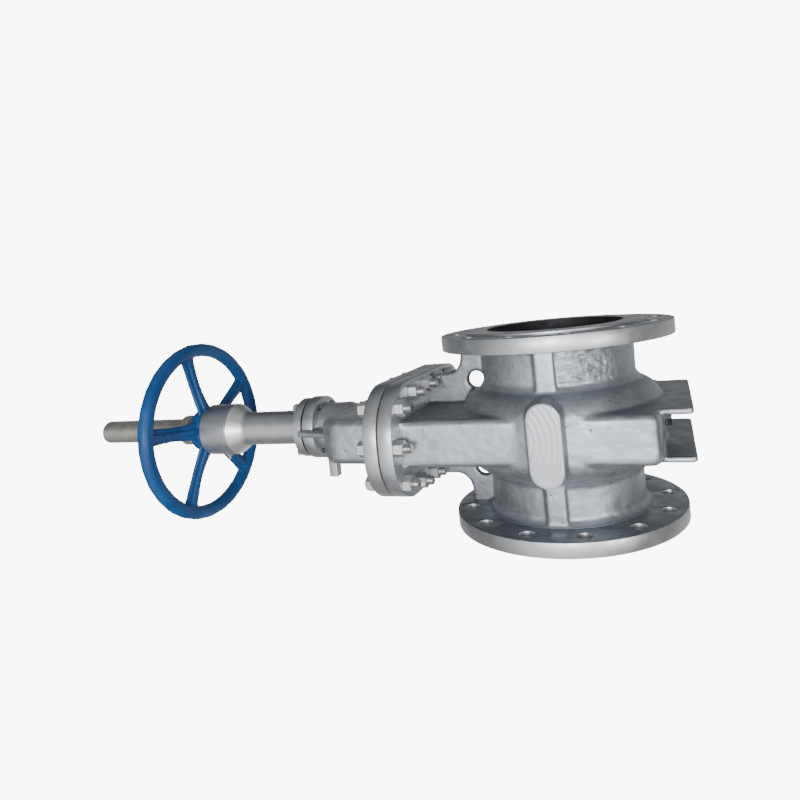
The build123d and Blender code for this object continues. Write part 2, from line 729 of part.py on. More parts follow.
# ---------------------------------------------------------------- gate, stem and pin
with BuildPart() as gate:
    with BuildSketch(MIDDLE.offset(-GATE_HALF_T)):
        Circle(GATE_R)
        with Locations(((GATE_LUG_X - 60) / 2, 0)):
            Rectangle(-60 - GATE_LUG_X, 2 * GATE_LUG_HALF_Y)
    extrude(amount=2 * GATE_HALF_T)
    with BuildSketch(across(GATE_LUG_X - 1)):
        Circle(STEM_R + FIT)
    extrude(amount=STEM_SEAT_X - GATE_LUG_X + 1, mode=Mode.SUBTRACT)
    with BuildSketch(MIDDLE.offset(-GATE_HALF_T - 1)):
        with Locations((GATE_PIN_X, 0)):
            Circle(GATE_PIN_R + FIT)
    extrude(amount=2 * GATE_HALF_T + 2, mode=Mode.SUBTRACT)
save(gate.part, "gate")

with BuildPart() as stem:
    with BuildSketch(across(STEM_TOP_X)):
        Circle(STEM_R)
    extrude(amount=STEM_SEAT_X - FIT - STEM_TOP_X)
    chamfer(stem.faces().sort_by(Axis.X)[0].edges(), length=2)
    with BuildSketch(MIDDLE.offset(-GATE_HALF_T - 1)):
        with Locations((GATE_PIN_X, 0)):
            Circle(GATE_PIN_R + FIT)
    extrude(amount=2 * GATE_HALF_T + 2, mode=Mode.SUBTRACT)
save(stem.part, "stem")

with BuildPart() as gate_pin:
    with BuildSketch(MIDDLE.offset(-GATE_HALF_T + 0.5)):
        with Locations((GATE_PIN_X, 0)):
            Circle(GATE_PIN_R)
    extrude(amount=2 * GATE_HALF_T - 1)
save(gate_pin.part, "gate_pin")

# ---------------------------------------------------------------- plugs
with BuildPart() as vent_plug:
    with BuildSketch(MIDDLE.offset(VENT_BOSS_DZ - FIT)):
        with Locations((VENT_X, 0)):
            Circle(VENT_R)
    extrude(amount=20)
    with BuildSketch(MIDDLE.offset(VENT_BOSS_DZ - FIT)):
        with Locations((VENT_X, 0)):
            Rectangle(16, 16)
    extrude(amount=-33)
    fillet(vent_plug.edges().filter_by(Axis.Z).group_by(Edge.length)[-1], radius=2)
save(vent_plug.part, "vent_plug")

with BuildPart() as drain_plug:
    with BuildSketch(across(CHAMBER_END_X + 2)):
        Circle(7)
    extrude(amount=HOUSING_END_X + 4 - CHAMBER_END_X - 2 + FIT)
    with BuildSketch(across(HOUSING_END_X + 4 + FIT)):
        RegularPolygon(11, 6, major_radius=False)
    extrude(amount=9)
save(drain_plug.part, "drain_plug")
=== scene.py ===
"""The looks of a flanged slab gate valve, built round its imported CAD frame.

The row frame is used throughout: Z is the flow axis, the stem runs along X at the height
MID_Z, and the handwheel is on the -X side. Shapes are written in millimetres, and keep()
turns them to metres. Castings are the CAD solids, remeshed and softened; turned plates,
nuts, studs and tubes are made anew with crisp edges.
"""

import math
import random

import bmesh
import bpy
import numpy as np
from mathutils import Euler, Matrix, Vector, noise


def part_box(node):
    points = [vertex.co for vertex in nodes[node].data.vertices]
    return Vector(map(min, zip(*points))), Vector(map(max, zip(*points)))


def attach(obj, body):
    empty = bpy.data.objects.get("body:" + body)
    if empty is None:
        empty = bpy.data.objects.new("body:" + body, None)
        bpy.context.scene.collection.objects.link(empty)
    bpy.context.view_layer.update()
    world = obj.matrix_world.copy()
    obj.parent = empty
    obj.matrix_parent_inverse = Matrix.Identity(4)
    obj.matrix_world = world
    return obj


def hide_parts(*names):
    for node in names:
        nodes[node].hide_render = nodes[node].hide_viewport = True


MM = 0.001

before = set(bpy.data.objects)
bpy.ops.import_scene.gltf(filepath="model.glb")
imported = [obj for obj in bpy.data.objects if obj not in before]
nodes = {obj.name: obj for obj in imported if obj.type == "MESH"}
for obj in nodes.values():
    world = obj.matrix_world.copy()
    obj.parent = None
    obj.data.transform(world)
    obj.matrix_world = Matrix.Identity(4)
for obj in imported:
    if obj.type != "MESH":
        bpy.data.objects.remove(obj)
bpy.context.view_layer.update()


def reach(node, axis, side):
    """Where a CAD node ends along an axis, in millimetres: its "low" or its "high" end."""
    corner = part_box(node)[("low", "high").index(side)]
    return round(corner["XYZ".index(axis)] / MM, 2)


MID_Z = (reach("body", "Z", "low") + reach("body", "Z", "high")) / 2


# ---------------------------------------------------------------- materials
class Shader:
    """A Principled material whose nodes read the object's own coordinates."""

    def __init__(self, name, color, roughness, metallic=0.0, specular=0.5):
        self.mat = bpy.data.materials.new(name)
        self.mat.use_nodes = True
        self.tree = self.mat.node_tree
        self.bsdf = self.tree.nodes["Principled BSDF"]
        self.bsdf.inputs["Base Color"].default_value = (*color, 1)
        self.bsdf.inputs["Roughness"].default_value = roughness
        self.bsdf.inputs["Metallic"].default_value = metallic
        self.bsdf.inputs["Specular IOR Level"].default_value = specular
        self.color = color
        self.coords = self.tree.nodes.new("ShaderNodeTexCoord").outputs["Object"]

    def node(self, kind, **values):
        made = self.tree.nodes.new("ShaderNode" + kind)
        for key, value in values.items():
            if key in made.inputs:
                made.inputs[key].default_value = value
            else:
                setattr(made, key, value)
        return made

    def link(self, source, target):
        self.tree.links.new(source, target)

    def noise(self, scale, detail=4.0, stretch=None):
        """A noise value from 0 to 1, with features of about 1/scale metres."""
        texture = self.node("TexNoise", Scale=scale, Detail=detail, Roughness=0.55)
        source = self.coords
        if stretch:
            mapping = self.node("Mapping")
            mapping.inputs["Scale"].default_value = stretch
            self.link(self.coords, mapping.inputs["Vector"])
            source = mapping.outputs["Vector"]
        self.link(source, texture.inputs["Vector"])
        return texture.outputs["Fac"]

    def ramp(self, source, low, high, low_value, high_value):
        """Maps source from low..high to low_value..high_value, clamped."""
        mapped = self.node("MapRange")
        for key, value in zip(
            ("From Min", "From Max", "To Min", "To Max"), (low, high, low_value, high_value)
        ):
            mapped.inputs[key].default_value = value
        self.link(source, mapped.inputs["Value"])
        return mapped.outputs["Result"]

    def tint(self, mask, color):
        """Mixes color over the base colour where mask is 1."""
        mix = self.node("Mix", data_type="RGBA")
        self.link(mask, mix.inputs["Factor"])
        linked = self.bsdf.inputs["Base Color"].links
        if linked:
            self.link(linked[0].from_socket, mix.inputs["A"])
        else:
            mix.inputs["A"].default_value = (*self.color, 1)
        mix.inputs["B"].default_value = (*color, 1)
        self.link(mix.outputs["Result"], self.bsdf.inputs["Base Color"])

    def blotches(self, scale, detail, low, high, share, color, stretch=None):
        """Tints where a noise rises from low to high, by share at most."""
        self.tint(self.ramp(self.noise(scale, detail, stretch), low, high, 0.0, share), color)

    def rough(self, source, low, high):
        self.link(self.ramp(source, 0.3, 0.7, low, high), self.bsdf.inputs["Roughness"])

    def bump(self, height, distance_mm, strength=1.0, invert=False):
        """Adds a bump on top of any already there."""
        bump = self.node("Bump", Strength=strength, Distance=distance_mm * MM, invert=invert)
        self.link(height, bump.inputs["Height"])
        normal = self.bsdf.inputs["Normal"]
        if normal.links:
            self.link(normal.links[0].from_socket, bump.inputs["Normal"])
        self.link(bump.outputs["Normal"], normal)

    def pits(self, scale, size, distance_mm):
        """Sparse round pits: scale sets how many, size how wide each is against its cell."""
        cells = self.node("TexVoronoi", Scale=scale)
        self.link(self.coords, cells.inputs["Vector"])
        depth = self.ramp(cells.outputs["Distance"], 0.0, size, 1.0, 0.0)
        chosen = self.ramp(self.noise(scale * 0.45, 2.0), 0.52, 0.6, 0.0, 1.0)
        sparse = self.product(depth, chosen)
        self.bump(sparse, distance_mm, invert=True)
        return sparse

    def axis_of(self, vector, axis):
        split = self.node("SeparateXYZ")
        self.link(vector, split.inputs["Vector"])
        return split.outputs[axis]

    def facing_up(self, low, high):
        """A mask of the faces that look upwards, which get painted shade."""
        height = self.axis_of(self.node("NewGeometry").outputs["Normal"], "Z")
        return self.ramp(height, low, high, 0.0, 1.0)

    def product(self, a, b):
        """The two values multiplied."""
        node = self.node("Math", operation="MULTIPLY")
        self.link(a, node.inputs[0])
        self.link(b, node.inputs[1])
        return node.outputs["Value"]

    def between(self, axis, low_mm, high_mm, soft_low, soft_high):
        """A mask of the band from low to high along one axis, with soft ends."""
        place = self.axis_of(self.coords, axis)
        rising = self.ramp(place, (low_mm - soft_low) * MM, low_mm * MM, 0.0, 1.0)
        falling = self.ramp(place, high_mm * MM, (high_mm + soft_high) * MM, 1.0, 0.0)
        return self.product(rising, falling)

    def edges(self, low, high):
        """A mask of the raised edges of a dense mesh."""
        geometry = self.node("NewGeometry")
        return self.ramp(geometry.outputs["Pointiness"], low, high, 0.0, 1.0)

    def grooves(self, scale, centre_mm, axis, distortion):
        """Concentric grooves round an axis through centre_mm."""
        mapping = self.node("Mapping")
        mapping.inputs["Location"].default_value = [-c * MM for c in centre_mm]
        self.link(self.coords, mapping.inputs["Vector"])
        rings = self.node(
            "TexWave",
            wave_type="RINGS",
            rings_direction=axis,
            Scale=scale,
            Distortion=distortion,
            Detail=2.0,
        )
        rings.inputs["Detail Scale"].default_value = 2.0
        self.link(mapping.outputs["Vector"], rings.inputs["Vector"])
        return rings.outputs["Fac"]


PAINT = (0.40, 0.43, 0.47)
PAINT_PALE = (0.52, 0.545, 0.57)
PAINT_DARK = (0.20, 0.22, 0.245)
# Painted shade for the webs, which lie in the flanges' shadow.
PAINTED_WEB_SHADE = (0.25, 0.265, 0.285)
PAINT_WORN = (0.70, 0.71, 0.71)
# Painted highlight and painted shade for the coarse skin's ridges and hollows.
PAINTED_SKIN_HIGHLIGHT = (0.66, 0.66, 0.63)
PAINTED_SKIN_SHADE = (0.24, 0.25, 0.25)
# Painted shade: tints that darken upward faces, standing in for tops that the light reaches less.
PAINTED_TOP_SHADE = (0.24, 0.265, 0.29)
PAINTED_TOP_SHADE_LIGHT = (0.36, 0.375, 0.39)
# Painted shade in the casting's pits.
PAINTED_PIT_SHADE = (0.10, 0.11, 0.12)
MACHINED = (0.54, 0.555, 0.575)
MACHINED_DULL = (0.43, 0.45, 0.47)
MACHINED_SCUFF = (0.24, 0.25, 0.26)
CONE_PALE = (0.82, 0.83, 0.82)


def darker(color, share):
    return tuple(channel * share for channel in color)


def cast_shade(name, top_shade=PAINTED_TOP_SHADE):
    """Thick silver-grey paint over sand-cast steel, with painted shade on what faces up and in
    the pits.
    """
    shade = Shader(name, PAINT, 0.42, metallic=0.88, specular=0.3)
    shade.blotches(9, 3, 0.42, 0.68, 0.45, PAINT_PALE)
    shade.blotches(26, 5, 0.50, 0.75, 0.5, PAINT_DARK)
    # Painted shade: what faces up is tinted darker.
    shade.tint(shade.facing_up(0.7, 0.98), top_shade)
    shade.tint(shade.edges(0.53, 0.62), PAINT_WORN)
    shade.rough(shade.noise(40, 4), 0.38, 0.56)
    shade.bump(shade.noise(110, 5), 1.1, 0.5)
    shade.bump(shade.noise(620, 3), 0.16, 0.5)
    # Painted shade: the pits are tinted dark.
    shade.tint(shade.ramp(shade.pits(75, 0.2, 0.8), 0.2, 0.9, 0.0, 0.8), PAINTED_PIT_SHADE)
    return shade


def cast_paint(name, top_shade=PAINTED_TOP_SHADE):
    return cast_shade(name, top_shade).mat


def body_paint(name):
    """Cast paint with painted shade on the webs, and a coarse skin beside the upper neck's front
    rib.
    """
    shade = cast_shade(name)
    # Painted shade: the webs between the flanges are tinted darker.
    web_shade = shade.product(shade.between("X", -300, -122, 1, 8), shade.between("Y", -9, 9, 1, 1))
    shade.tint(web_shade, PAINTED_WEB_SHADE)
    patch = shade.product(
        shade.product(shade.between("X", 18, 36, 4, 45), shade.between("Z", 222, 264, 8, 4)),
        shade.between("Y", -125, -80, 5, 30),
    )
    skin = shade.product(shade.noise(75, 3, stretch=(0.7, 0.7, 2.0)), patch)
    shade.bump(skin, 5.0, 0.8)
    # Painted highlight on the skin's ridges and painted shade in its hollows.
    shade.tint(shade.ramp(skin, 0.50, 0.64, 0.0, 0.6), PAINTED_SKIN_HIGHLIGHT)
    hollow_shade = shade.ramp(skin, 0.34, 0.42, 0.6, 0.0)
    shade.tint(shade.product(hollow_shade, patch), PAINTED_SKIN_SHADE)
    return shade.mat


def machined_paint(name, color=MACHINED):
    """Paint over a turned face: smoother than the casting, with faint tool marks."""
    shade = Shader(name, color, 0.40, metallic=0.85, specular=0.3)
    shade.blotches(14, 4, 0.45, 0.7, 0.4, MACHINED_DULL)
    # Painted shade: what faces up is tinted darker.
    shade.tint(shade.facing_up(0.6, 0.95), PAINTED_TOP_SHADE)
    shade.blotches(190, 3, 0.66, 0.74, 0.6, MACHINED_SCUFF)
    shade.rough(shade.noise(60, 4), 0.30, 0.48)
    shade.bump(shade.noise(450, 3, stretch=(1, 1, 0.15)), 0.10, 0.5)
    shade.bump(shade.noise(90, 3), 0.35, 0.3)
    return shade.mat


def turned_steel(name, color, roughness=0.3, metallic=1.0, stretch=(1.0, 0.05, 0.05)):
    """Bare metal with fine tool marks. A small stretch draws them out along that axis."""
    shade = Shader(name, color, roughness, metallic=metallic)
    shade.blotches(60, 4, 0.5, 0.75, 0.4, darker(color, 0.7))
    shade.rough(shade.noise(70, 4), roughness * 0.75, roughness * 1.35)
    shade.bump(shade.noise(1500, 2, stretch=stretch), 0.06, 0.5)
    return shade.mat


def zinc_bolting(name):
    shade = Shader(name, (0.52, 0.52, 0.51), 0.36, metallic=0.9)
    shade.blotches(120, 4, 0.45, 0.7, 0.7, (0.30, 0.30, 0.29))
    shade.blotches(300, 3, 0.62, 0.72, 0.5, (0.64, 0.63, 0.60))
    shade.rough(shade.noise(240, 3), 0.26, 0.5)
    shade.bump(shade.noise(700, 4), 0.12, 0.5)
    return shade.mat


def wheel_paint(name):
    """Semi-gloss blue over a cast wheel, worn paler on its edges."""
    shade = Shader(name, (0.009, 0.068, 0.22), 0.40, specular=0.25)
    shade.bsdf.inputs["Coat Weight"].default_value = 0.1
    shade.bsdf.inputs["Coat Roughness"].default_value = 0.22
    shade.blotches(18, 4, 0.45, 0.7, 0.6, (0.02, 0.105, 0.31))
    shade.blotches(70, 5, 0.60, 0.72, 0.5, (0.008, 0.045, 0.15))
    shade.tint(shade.edges(0.535, 0.63), (0.04, 0.16, 0.42))
    shade.rough(shade.noise(60, 4), 0.34, 0.52)
    shade.bump(shade.noise(140, 4), 0.45, 0.5)
    shade.bump(shade.noise(800, 3), 0.08, 0.5)
    return shade.mat


def galvanised(name):
    """Zinc-coated tube: dull, with soft spangles and lengthwise streaks."""
    shade = Shader(name, (0.60, 0.60, 0.57), 0.34, metallic=0.8)
    shade.blotches(45, 3, 0.45, 0.7, 0.5, (0.34, 0.34, 0.33))
    shade.blotches(160, 4, 0.55, 0.72, 0.5, (0.55, 0.55, 0.52), stretch=(0.12, 1, 1))
    shade.rough(shade.noise(130, 3), 0.26, 0.44)
    shade.bump(shade.noise(500, 3, stretch=(0.2, 1, 1)), 0.08, 0.5)
    return shade.mat


def plain_grain(name, color, roughness, scale, metallic=0.0):
    """A fine-grained plastic, rubber or graphite."""
    shade = Shader(name, color, roughness, metallic=metallic)
    shade.blotches(scale * 0.2, 4, 0.4, 0.7, 0.5, darker(color, 0.75))
    shade.rough(shade.noise(scale * 0.5, 3), roughness * 0.85, min(1.0, roughness * 1.2))
    shade.bump(shade.noise(scale, 3), 0.08, 0.5)
    return shade.mat


def ground_pad(name):
    """The pad faces, dressed with a grinder: bright, with arc-shaped scratches."""
    pivot = (-62, 0, 152)
    shade = Shader(name, (0.60, 0.61, 0.66), 0.42, metallic=0.3)
    arcs = shade.grooves(40, pivot, "Y", distortion=1.8)
    shade.tint(shade.ramp(arcs, 0.0, 0.2, 0.55, 0.0), (0.42, 0.44, 0.49))
    shade.blotches(30, 4, 0.5, 0.75, 0.3, (0.48, 0.50, 0.55))
    shade.bump(arcs, 0.5, 0.5)
    shade.bump(shade.grooves(170, pivot, "Y", distortion=2.5), 0.10, 0.4)
    shade.bump(shade.noise(900, 2), 0.05, 0.4)
    return shade.mat


MATERIALS = {
    "cast": body_paint("body_grey_paint"),
    # The bonnet gets a lighter painted shade on its tops.
    "bonnet": cast_paint("bonnet_grey_paint", PAINTED_TOP_SHADE_LIGHT),
    "machined_paint": machined_paint("machined_grey_paint"),
    "cone": machined_paint("cone_pale_paint", CONE_PALE),
    "pad": ground_pad("ground_pad"),
    "wheel": wheel_paint("blue_wheel_paint"),
    "tube": galvanised("galvanised_tube"),
    "zinc": zinc_bolting("zinc_bolting"),
    "painted_nut": cast_paint("nut_grey_paint"),
    "steel": turned_steel("turned_steel", (0.50, 0.50, 0.49)),
    # Painted shade: the packing gland is near-black so that the gap at the column reads dark.
    "black_steel": turned_steel("black_steel", (0.02, 0.02, 0.021), 0.5, 0.6),
    # Painted shade: the bores and the gap at the column get a near-black coat.
    "bore": turned_steel("bore_painted_shade", (0.035, 0.037, 0.042), 0.5, 0.4, (0.05, 0.05, 1.0)),
    "stem": turned_steel("polished_stem", (0.60, 0.60, 0.59), 0.16, 1.0, (1.0, 0.04, 0.04)),
    "gate": turned_steel("lapped_gate", (0.58, 0.59, 0.60), 0.22, 1.0, (0.3, 0.3, 1.0)),
    "bronze": turned_steel("turned_bronze", (0.52, 0.34, 0.15), 0.3),
    "bearing": turned_steel("bearing_steel", (0.62, 0.62, 0.62), 0.12),
    "seat_plastic": plain_grain("seat_plastic", (0.78, 0.78, 0.74), 0.45, 900),
    "graphite": plain_grain("graphite", (0.03, 0.03, 0.033), 0.55, 1200, 0.3),
    "rubber": plain_grain("seal_rubber", (0.02, 0.02, 0.021), 0.6, 1400),
}
NODE_MATERIALS = {
    "steel": (
        "seat_ring_upper seat_ring_lower seat_springs backseat_bush "
        "housing_retainer hub_key gate_pin drain_plug"
    ),
    # The gland is near-black as painted shade in the gap.
    "black_steel": "packing_gland",
    "seat_plastic": "seat_insert_upper seat_insert_lower",
    "rubber": "seat_seals retainer_seal",
    "graphite": "packing_rings bonnet_gasket",
    "bearing": "fixed_races turning_races bearing_balls",
    "bronze": "bearing_cages stem_nut",
    "zinc": "grease_nipple",
    "stem": "stem",
    "gate": "gate",
}
for key, names in NODE_MATERIALS.items():
    for name in names.split():
        mesh = nodes[name].data
        mesh.materials.clear()
        mesh.materials.append(MATERIALS[key])


# ---------------------------------------------------------------- mesh helpers
def keep(name, shape, material, body, replaced):
    """Makes the object of a finished mesh or bmesh, attaches it to a body, and hides the CAD
    parts that it replaces.

    material is a key of MATERIALS, or None where material_by has given the faces theirs.
    """
    mesh = finished_mesh(shape) if isinstance(shape, bmesh.types.BMesh) else shape
    mesh.name = name
    mesh.transform(Matrix.Scale(MM, 4))
    mesh.shade_smooth()
    mesh.set_sharp_from_angle(angle=math.radians(32))
    if material:
        mesh.materials.append(MATERIALS[material])
    obj = bpy.data.objects.new(name, mesh)
    bpy.context.scene.collection.objects.link(obj)
    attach(obj, body)
    if replaced:
        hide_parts(*replaced)


def finished_mesh(bm):
    """The mesh of bm, its normals outward."""
    mesh = bpy.data.meshes.new("mesh")
    bmesh.ops.recalc_face_normals(bm, faces=bm.faces[:])
    bm.to_mesh(mesh)
    bm.free()
    return mesh


def along_x(spot):
    """Places points (station, radius, angle from Y towards Z) round a line along X.

    spot is where the line crosses, as (Y, height over the stem).
    """

    def place(x, r, angle):
        return Vector(
            (x, spot[0] + r * math.cos(angle), MID_Z + spot[1] + r * math.sin(angle))
        )

    return place


along_stem = along_x((0, 0))


def along_flow(z, r, angle):
    """The point at height z, radius r and angle (from X towards Y) round the flow axis."""
    return Vector((r * math.cos(angle), r * math.sin(angle), z))


def turns(count):
    """count angles, evenly round a full turn."""
    return [2 * math.pi * k / count for k in range(count)]


def bridge(bm, rings, closed):
    """Joins each ring of vertices to the next, and the last to the first if closed."""
    pairs = zip(rings, rings[1:] + rings[:1]) if closed else zip(rings, rings[1:])
    for here, after in pairs:
        for k in range(len(here)):
            bm.faces.new((here[k], here[k - 1], after[k - 1], after[k]))
    if not closed:
        bm.faces.new(rings[0])
        bm.faces.new(rings[-1][::-1])


def lathe(bm, profile, place=along_stem, segments=96, closed=True):
    """Turns a profile of (station, radius) corners, none of them on the axis.

    A closed profile makes a ring. An open one has a disc at each end.
    """
    rings = [[bm.verts.new(place(s, r, a)) for a in turns(segments)] for s, r in profile]
    bridge(bm, rings, closed)


def turned(profile, place=along_stem, segments=96, closed=True):
    """A bmesh that holds one lathed shape."""
    bm = bmesh.new()
    lathe(bm, profile, place, segments, closed)
    return bm


def rounded(corners, radii, steps=4):
    """The closed corner list with each corner cut back by its radius and rounded."""
    result = []
    for i, (corner, radius) in enumerate(zip(corners, radii)):
        here = Vector(corner)
        before = Vector(corners[i - 1]) - here
        after = Vector(corners[(i + 1) % len(corners)]) - here
        r = min(radius, before.length * 0.45, after.length * 0.45)
        a = here + before.normalized() * r
        b = here + after.normalized() * r
        for step_number in range(steps + 1):
            t = step_number / steps
            result.append(tuple((1 - t) ** 2 * a + 2 * t * (1 - t) * here + t * t * b))
    return result


def added(data):
    """A new object of the scene, for shapes that are evaluated and then thrown away."""
    obj = bpy.data.objects.new("working", data)
    bpy.context.scene.collection.objects.link(obj)
    return obj


def evaluated_mesh(obj):
    """The mesh of a working object with its modifiers applied. The object is removed."""
    bpy.context.view_layer.update()
    graph = bpy.context.evaluated_depsgraph_get()
    mesh = bpy.data.meshes.new_from_object(obj.evaluated_get(graph))
    bpy.data.objects.remove(obj)
    return mesh


def plate(outlines, thickness, bevel, to_world):
    """A flat plate with crisp bevelled edges. The first outline is its edge, the rest holes."""
    curve = bpy.data.curves.new("outline", "CURVE")
    curve.dimensions = "2D"
    curve.fill_mode = "BOTH"
    curve.extrude = (thickness - 2 * bevel) / 2
    curve.bevel_depth = bevel
    curve.bevel_resolution = 1
    curve.offset = -bevel
    for outline in outlines:
        spline = curve.splines.new("POLY")
        spline.points.add(len(outline) - 1)
        for point, (u, v) in zip(spline.points, outline):
            point.co = (u, v, 0, 1)
        spline.use_cyclic_u = True
    mesh = evaluated_mesh(added(curve))
    bpy.data.curves.remove(curve)
    bm = bmesh.new()
    bm.from_mesh(mesh)
    bmesh.ops.remove_doubles(bm, verts=bm.verts[:], dist=1e-4)
    bm.to_mesh(mesh)
    bm.free()
    mesh.transform(to_world)
    return mesh


def circle(r, centre=(0, 0), points=96):
    return [
        (centre[0] + r * math.cos(a), centre[1] + r * math.sin(a)) for a in turns(points)
    ]


def flat_at(z):
    """Plate coordinates (u, v) become (X, Y) at height z."""
    return Matrix.Translation((0, 0, z))


def across_at(x):
    """Plate coordinates (u, v) become (Y, height over the stem) at station x."""
    return Matrix(((0, 0, 1, x), (1, 0, 0, 0), (0, 1, 0, MID_Z), (0, 0, 0, 1)))


def remeshed(bm, voxel):
    """The union of everything in bm, as one even quad mesh."""
    raw = finished_mesh(bm)
    obj = added(raw)
    modifier = obj.modifiers.new("voxels", "REMESH")
    modifier.mode = "VOXEL"
    modifier.voxel_size = voxel
    result = evaluated_mesh(obj)
    bpy.data.meshes.remove(raw)
    return result


def positions(mesh):
    co = np.empty(len(mesh.vertices) * 3)
    mesh.vertices.foreach_get("co", co)
    return co.reshape(-1, 3)


def set_positions(mesh, co):
    mesh.vertices.foreach_set("co", co.reshape(-1))
    mesh.update()


def smoothed(mesh, rounds, weight):
    """Moves each vertex towards its neighbours' mean, as far as weight(co), 0 to 1, lets it."""
    co = positions(mesh)
    ends = np.empty(len(mesh.edges) * 2, np.int64)
    mesh.edges.foreach_get("vertices", ends)
    first, second = ends.reshape(-1, 2).T
    count = np.bincount(ends, minlength=len(co)).astype(float)[:, None]
    pull = weight(co)[:, None]
    for _ in range(rounds):
        total = np.empty_like(co)
        for axis in range(3):
            total[:, axis] = np.bincount(first, co[second, axis], minlength=len(co))
            total[:, axis] += np.bincount(second, co[first, axis], minlength=len(co))
        co += pull * (total / np.maximum(count, 1) - co)
    set_positions(mesh, co)


def roughened(mesh, layers):
    """Pushes vertices along their normals by noise. A layer is (amount, scale, mask)."""
    co = positions(mesh)
    normals = np.empty(len(co) * 3)
    mesh.vertex_normals.foreach_get("vector", normals)
    push = np.zeros(len(co))
    for amount, scale, mask in layers:
        strength = mask(co)
        where = np.nonzero(strength > 0.01)[0]
        swell = [noise.noise(Vector(spot)) for spot in co[where] * np.array(scale)]
        push[where] += amount * strength[where] * np.array(swell)
    set_positions(mesh, co + normals.reshape(-1, 3) * push[:, None])


def from_cad(node, cuts):
    """The CAD node's solid in millimetres, cut by planes (point, outward normal)."""
    bm = bmesh.new()
    bm.from_mesh(nodes[node].data)
    bmesh.ops.scale(bm, vec=(1 / MM,) * 3, verts=bm.verts[:])
    bmesh.ops.remove_doubles(bm, verts=bm.verts[:], dist=0.002)
    for point, normal in cuts:
        cut = bmesh.ops.bisect_plane(
            bm,
            geom=bm.verts[:] + bm.edges[:] + bm.faces[:],
            dist=1e-5,
            plane_co=point,
            plane_no=normal,
            clear_outer=True,
        )
        edges = [g for g in cut["geom_cut"] if isinstance(g, bmesh.types.BMEdge)]
        bmesh.ops.triangle_fill(bm, edges=edges, use_beauty=True)
    return bm


def box(bm, *spans):
    """A block between the two ends given for X, for Y and for Z, in either order."""
    low, high = (Vector([end(span) for span in spans]) for end in (min, max))
    middle, size = (low + high) / 2, high - low
    for vertex in bmesh.ops.create_cube(bm, size=1.0)["verts"]:
        vertex.co = middle + Vector([c * length for c, length in zip(vertex.co, size)])


def material_by(mesh, keys, choose):
    """Gives each face the material whose index choose(centres, normals) returns."""
    for key in keys:
        mesh.materials.append(MATERIALS[key])
    count = len(mesh.polygons)
    centres, normals = np.empty(count * 3), np.empty(count * 3)
    mesh.polygons.foreach_get("center", centres)
    mesh.polygons.foreach_get("normal", normals)
    index = choose(centres.reshape(-1, 3), normals.reshape(-1, 3)).astype(np.int32)
    mesh.polygons.foreach_set("material_index", index)


def step(values, low, high):
    """0 below low, 1 above high, smooth between."""
    t = np.clip((values - low) / (high - low), 0, 1)
    return t * t * (3 - 2 * t)


def cast_skin(mesh, rounds, weight, swells, patches=()):
    """Rounds a casting off where weight(co) lets it, and swells it like a sand mould.

    A swell is (amount, scale). A patch is a layer of roughened() with its own mask.
    """

    def loose(co):
        return np.minimum(1, weight(co) * 2)

    smoothed(mesh, rounds, weight)
    roughened(mesh, [(amount, scale, loose) for amount, scale in swells] + list(patches))


# ---------------------------------------------------------------- body casting
HALF_H = MID_Z - reach("body", "Z", "low")
BORE_R = 100.0
NECK_R = 112.0
FLANGE_R = 170.0
FLANGE_T = 21.0
RAISED_R = 134.0
RAISED_T = 3.0
FLANGE_BACK = HALF_H - RAISED_T - FLANGE_T
JOINT_T = 21.0
JOINT_X = reach("body", "X", "low")
BODY_BACK_X = JOINT_X + JOINT_T
BONNET_X = reach("bonnet", "X", "high")
BONNET_BACK_X = BONNET_X - JOINT_T
WEB_HALF_T = 7.0
PAD_FACE_Y = 160.0
PAD_HALF_X = 40.0
FOOT_X = 150.0
BORE_SKIN = 11.0  # the bore's edges lie within this of BORE_R
INNER_HALF_Z = 22.5  # half the height of the chamber in the body and in the bonnet
CUT_GAP = 0.02  # between a casting's cut and the turned plate that covers it
PLATE_LAP = 5.0  # how far the stubs of a casting run into a turned plate
STUB = 3.0  # and how far they run back into the casting
CAST_VOXEL = 2.4


def wall_stubs(bm, span, side, inner_y, outer_y, outer_z):
    """A long and a short wall of a rectangular housing, on one side, over a span of X."""
    long_y = outer_y - 0.5
    box(bm, span, (-long_y, long_y), (MID_Z + side * INNER_HALF_Z, MID_Z + side * outer_z))
    box(bm, span, (side * inner_y, side * outer_y), (MID_Z - outer_z, MID_Z + outer_z))


bm = from_cad(
    "body",
    [
        ((0, 0, MID_Z + FLANGE_BACK - CUT_GAP), (0, 0, 1)),
        ((0, 0, MID_Z - FLANGE_BACK + CUT_GAP), (0, 0, -1)),
        ((BODY_BACK_X + CUT_GAP, 0, 0), (-1, 0, 0)),
    ],
)
lap = (BODY_BACK_X - PLATE_LAP, BODY_BACK_X + STUB)
web = (-WEB_HALF_T, WEB_HALF_T)
for up in (1, -1):
    ends = (MID_Z + up * (FLANGE_BACK - STUB), MID_Z + up * (FLANGE_BACK + PLATE_LAP))
    neck = [(ends[0], BORE_R + 0.4), (ends[0], NECK_R + 3)]
    neck += [(ends[1], NECK_R + 14), (ends[1], BORE_R + 0.4)]
    lathe(bm, neck, along_flow)
    box(bm, (-150, -105), web, ends)
    box(bm, lap, web, (MID_Z + up * 28, MID_Z + up * 76))
    wall_stubs(bm, lap, up, inner_y=127, outer_y=139.5, outer_z=33.5)
body_mesh = remeshed(bm, CAST_VOXEL)


